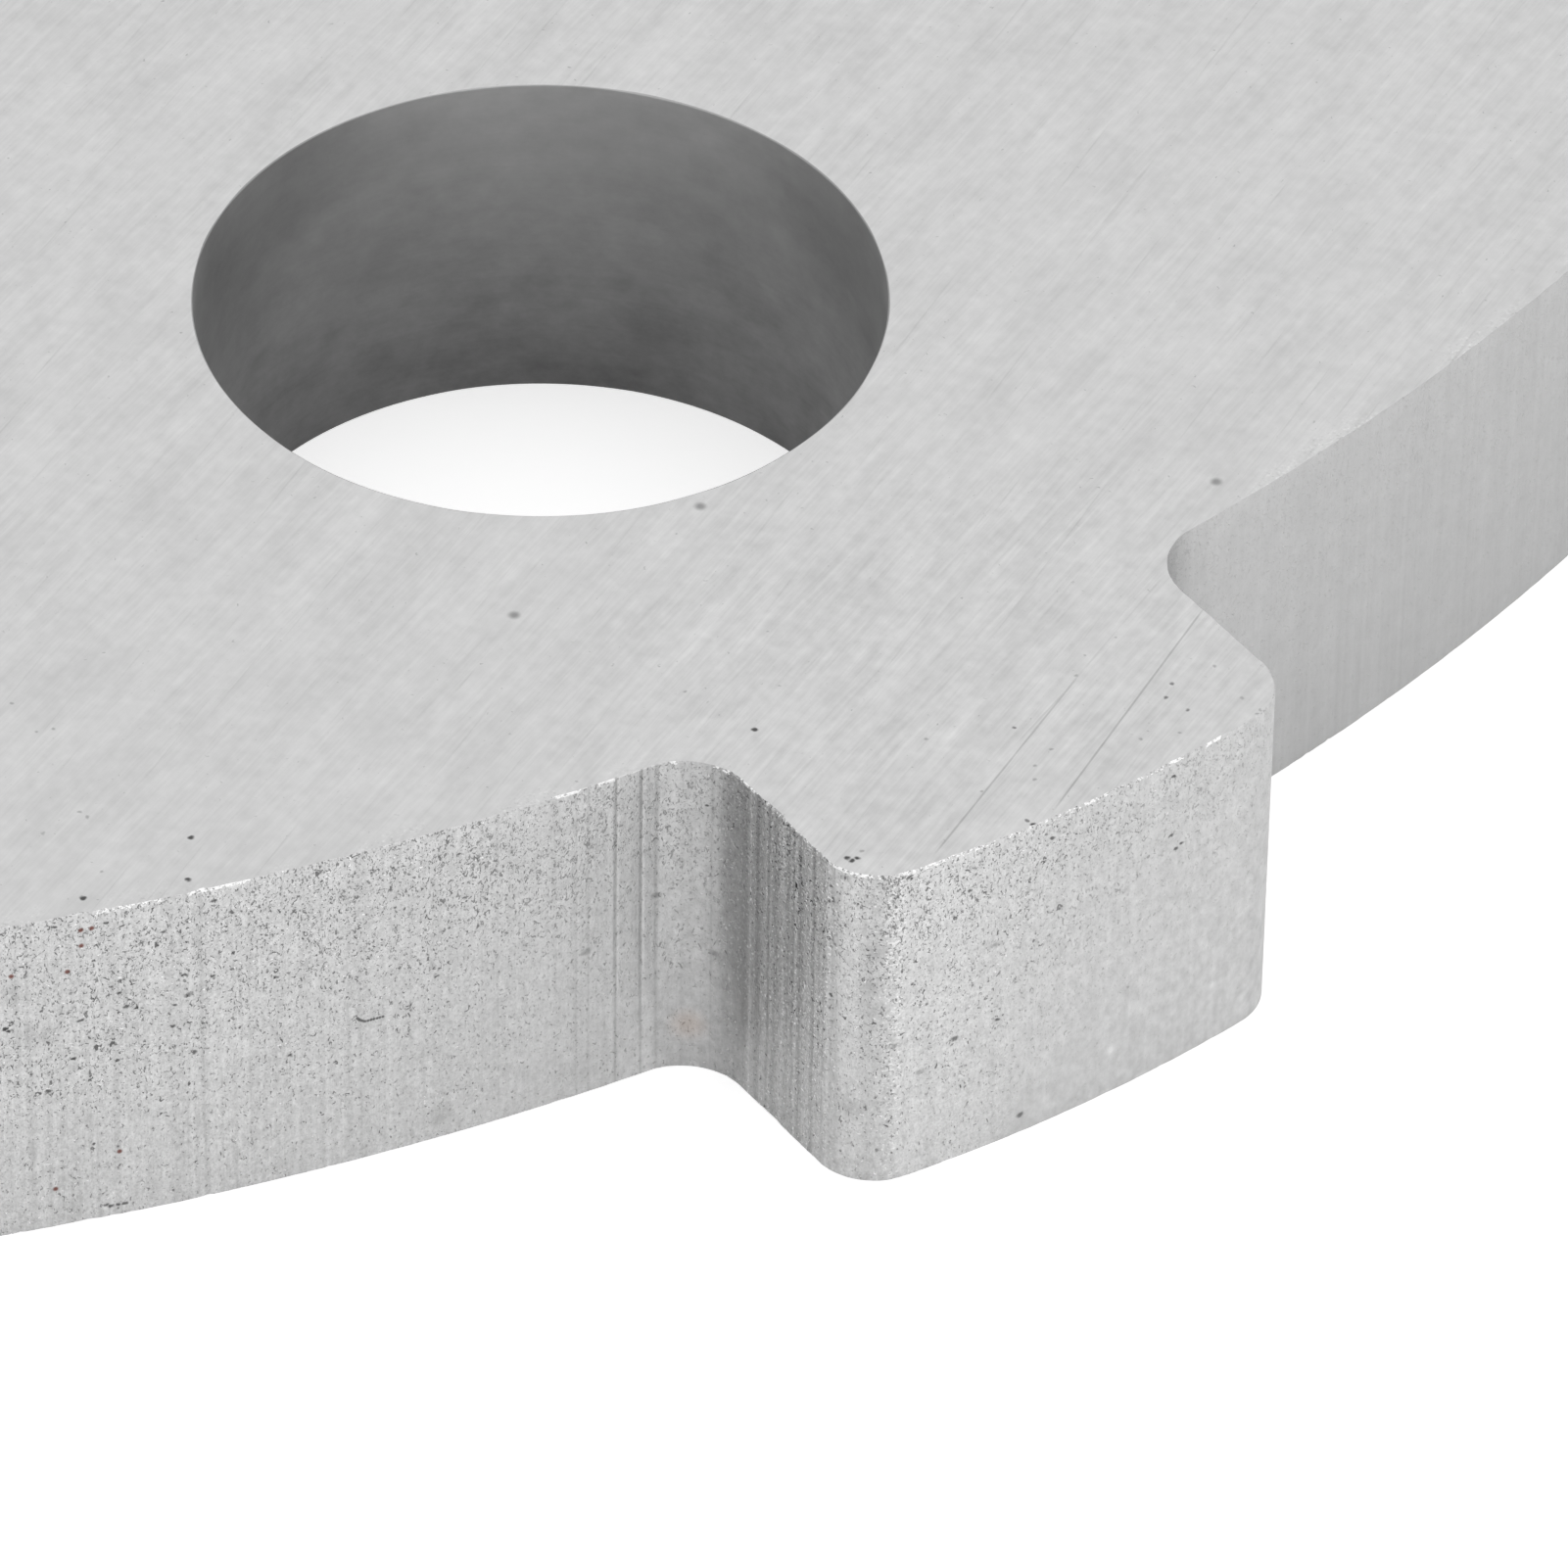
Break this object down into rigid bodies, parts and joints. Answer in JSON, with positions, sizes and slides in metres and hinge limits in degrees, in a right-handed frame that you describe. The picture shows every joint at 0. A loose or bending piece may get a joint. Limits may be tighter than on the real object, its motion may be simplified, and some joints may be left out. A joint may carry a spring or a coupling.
{
  "type": "meat grinder plate",
  "caption": "Flat ground steel disc with rings of round through holes, a centre bore and one lug on the rim that stops it turning.",
  "frame": {"origin": "on the centre bore's axis, at mid-thickness of the plate", "axes": "+Z square to the flat faces, out of the ground face; -Y from the bore's axis through the lug; +X along the rim's tangent at the lug"},
  "size_m": [0.062, 0.0648, 0.0042],
  "materials": {
    "ground_steel": "ground flat faces with fine parallel grain; rim as blanked, pitted and finely scored across its thickness"
  },
  "bodies": {
    "root": {"grinder_plate": "ground_steel"}
  },
  "joints": []
}
